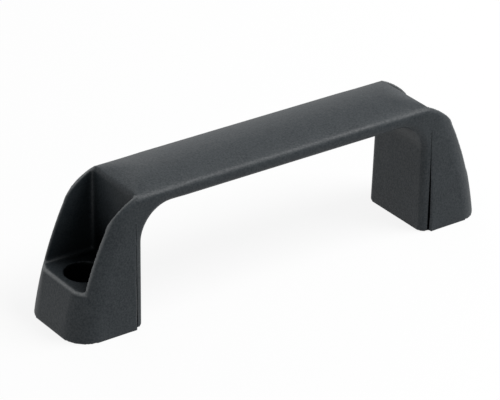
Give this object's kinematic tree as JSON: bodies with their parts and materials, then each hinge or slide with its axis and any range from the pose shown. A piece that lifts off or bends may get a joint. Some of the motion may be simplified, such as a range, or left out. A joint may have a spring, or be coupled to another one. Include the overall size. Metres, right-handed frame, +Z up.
{
  "type": "bar handle",
  "caption": "Moulded bridge-shaped bar handle with a crowned grip bar and two hollow-topped legs, screwed down from above through counterbored holes.",
  "frame": {"origin": "centre of the footprint, on the plane that the two feet stand on", "axes": "X along the bar, Y across it, Z up, away from the surface that the handle is screwed to"},
  "size_m": [0.138, 0.0266, 0.0403],
  "materials": {
    "handle": "fine matte moulded texture, charcoal"
  },
  "bodies": {
    "root": {"handle": "handle"}
  },
  "joints": []
}
